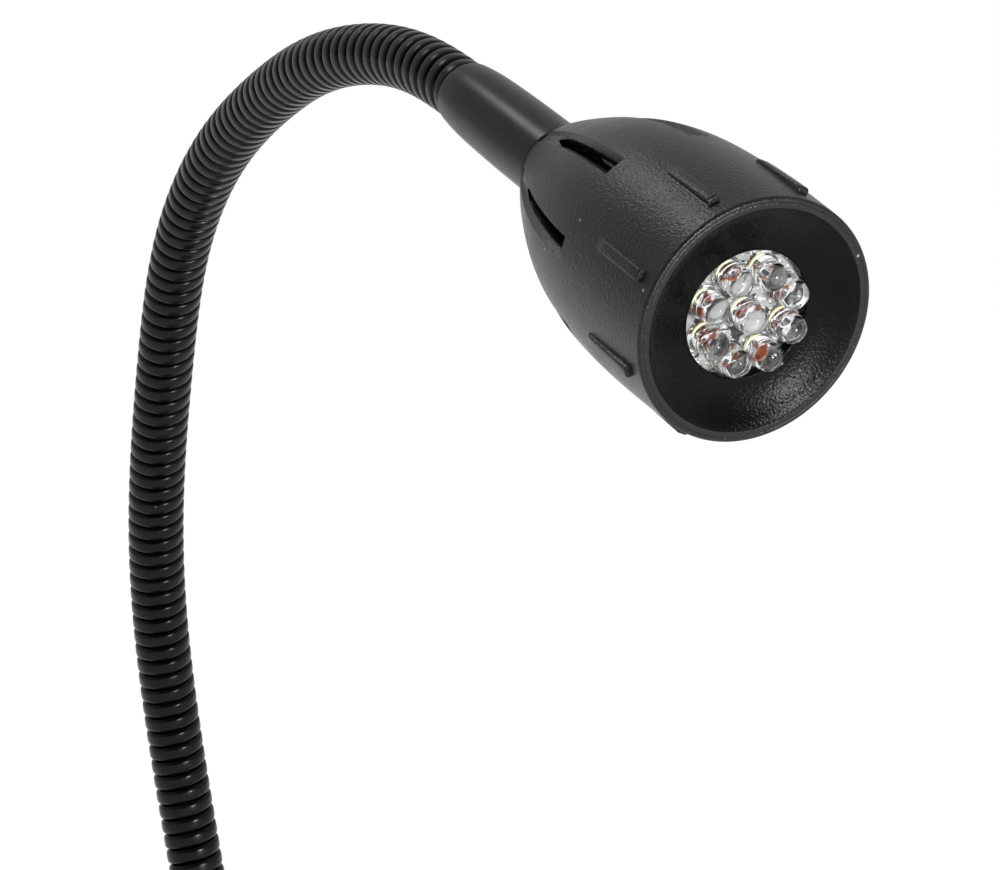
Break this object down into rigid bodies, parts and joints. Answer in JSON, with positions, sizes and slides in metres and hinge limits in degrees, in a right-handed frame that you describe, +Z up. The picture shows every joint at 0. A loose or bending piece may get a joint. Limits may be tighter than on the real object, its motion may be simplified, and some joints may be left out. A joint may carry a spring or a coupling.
{
  "type": "examination lamp",
  "caption": "Gooseneck examination lamp: a bell-shaped vented LED head on a flexible ribbed neck that stands on a weighted round foot with a rocker switch.",
  "frame": {"origin": "middle of the flat underside of the rubber pad under the foot, on the surface the lamp stands on", "axes": "+Z up along the foot of the neck, -Y towards the head, +X to the right of someone who faces the LEDs from the front"},
  "size_m": [0.16, 0.3581, 0.3417],
  "materials": {
    "grained_plastic": "black moulded plastic with a fine leather-like grain",
    "satin_plastic": "smooth satin black",
    "neck_coat": "satin black coated steel coil",
    "clear_epoxy": "water-clear epoxy",
    "circuit_board": "white solder mask",
    "zinc_steel": "bright zinc plate",
    "pressed_steel": "rolled sheet",
    "cast_iron": "as cast",
    "pad_rubber": "dull, slightly textured",
    "red_insulation": "extruded insulation"
  },
  "bodies": {
    "foot": {"board_post_1": "satin_plastic", "board_post_2": "satin_plastic", "collar_nut": "zinc_steel", "driver_board": "circuit_board", "driver_capacitor": "satin_plastic", "driver_coil": "cast_iron", "foot_cover": "grained_plastic", "foot_lead_black": "grained_plastic", "foot_lead_red": "red_insulation", "foot_pad": "pad_rubber", "foot_plate": "pressed_steel", "foot_screw_1": "zinc_steel", "foot_screw_2": "zinc_steel", "foot_screw_3": "zinc_steel", "foot_weight": "cast_iron", "inlet_jack": "grained_plastic", "inlet_pin": "zinc_steel", "neck_collar": "satin_plastic", "neck_root": "neck_coat", "switch_frame": "grained_plastic"},
    "segment_1": {"neck_segment_1": "neck_coat"},
    "segment_2": {"neck_segment_2": "neck_coat"},
    "segment_3": {"neck_segment_3": "neck_coat"},
    "segment_4": {"neck_segment_4": "neck_coat"},
    "segment_5": {"neck_segment_5": "neck_coat"},
    "segment_6": {"neck_segment_6": "neck_coat"},
    "segment_7": {"neck_segment_7": "neck_coat"},
    "segment_8": {"neck_segment_8": "neck_coat"},
    "segment_9": {"neck_segment_9": "neck_coat"},
    "head": {"bezel": "grained_plastic", "board_screw_1": "zinc_steel", "board_screw_2": "zinc_steel", "head_lead_black": "grained_plastic", "head_lead_red": "red_insulation", "head_shell": "grained_plastic", "led_1": "clear_epoxy", "led_2": "clear_epoxy", "led_3": "clear_epoxy", "led_4": "clear_epoxy", "led_5": "clear_epoxy", "led_6": "clear_epoxy", "led_7": "clear_epoxy", "led_8": "clear_epoxy", "led_9": "clear_epoxy", "led_board": "circuit_board", "neck_tip": "neck_coat", "resistor_1": "grained_plastic", "resistor_2": "grained_plastic", "resistor_3": "grained_plastic", "sleeve": "satin_plastic", "sleeve_nut": "zinc_steel"},
    "rocker": {"switch_rocker": "grained_plastic"}
  },
  "joints": [
    {"name": "neck_bend_1", "type": "hinge", "parent": "foot", "child": "segment_1", "pos_m": [-0.00029, -0.00001, 0.066], "axis": [0.9996, 0.0001, 0.0268], "range_deg": [-20, 12]},
    {"name": "neck_bend_2", "type": "hinge", "parent": "segment_1", "child": "segment_2", "pos_m": [-0.00253, 0.0015, 0.10664], "axis": [0.9964, 0.007, 0.0844], "range_deg": [-20, 12]},
    {"name": "neck_swing_3", "type": "hinge", "parent": "segment_2", "child": "segment_3", "pos_m": [-0.00721, 0.00529, 0.14694], "axis": [0, 0.9974, -0.0718], "range_deg": [-20, 20]},
    {"name": "neck_bend_4", "type": "hinge", "parent": "segment_3", "child": "segment_4", "pos_m": [-0.01411, 0.00476, 0.18703], "axis": [0.9823, -0.0218, 0.1858], "range_deg": [-20, 12]},
    {"name": "neck_bend_5", "type": "hinge", "parent": "segment_4", "child": "segment_5", "pos_m": [-0.0214, -0.00491, 0.22582], "axis": [0.9877, -0.0581, 0.1452], "range_deg": [-20, 20]},
    {"name": "neck_swing_6", "type": "hinge", "parent": "segment_5", "child": "segment_6", "pos_m": [-0.02671, -0.02374, 0.26151], "axis": [0, 0.8495, 0.5276], "range_deg": [-20, 20]},
    {"name": "neck_bend_7", "type": "hinge", "parent": "segment_6", "child": "segment_7", "pos_m": [-0.03062, -0.04732, 0.29442], "axis": [0.9982, -0.0414, 0.0438], "range_deg": [-20, 20]},
    {"name": "neck_bend_8", "type": "hinge", "parent": "segment_7", "child": "segment_8", "pos_m": [-0.03153, -0.0801, 0.31823], "axis": [1, 0.0008, -0.0004], "range_deg": [-20, 20]},
    {"name": "neck_swing_9", "type": "hinge", "parent": "segment_8", "child": "segment_9", "pos_m": [-0.03133, -0.11824, 0.33241], "axis": [0, 0.2513, 0.9679], "range_deg": [-20, 20]},
    {"name": "neck_bend_10", "type": "hinge", "parent": "segment_9", "child": "head", "pos_m": [-0.02803, -0.15847, 0.33605], "axis": [0.9978, 0.0655, 0.0067], "range_deg": [-20, 20]},
    {"name": "switch_rock", "type": "hinge", "parent": "foot", "child": "rocker", "pos_m": [0, -0.042, 0.023], "axis": [0, 1, 0], "range_deg": [0, 14]}
  ]
}
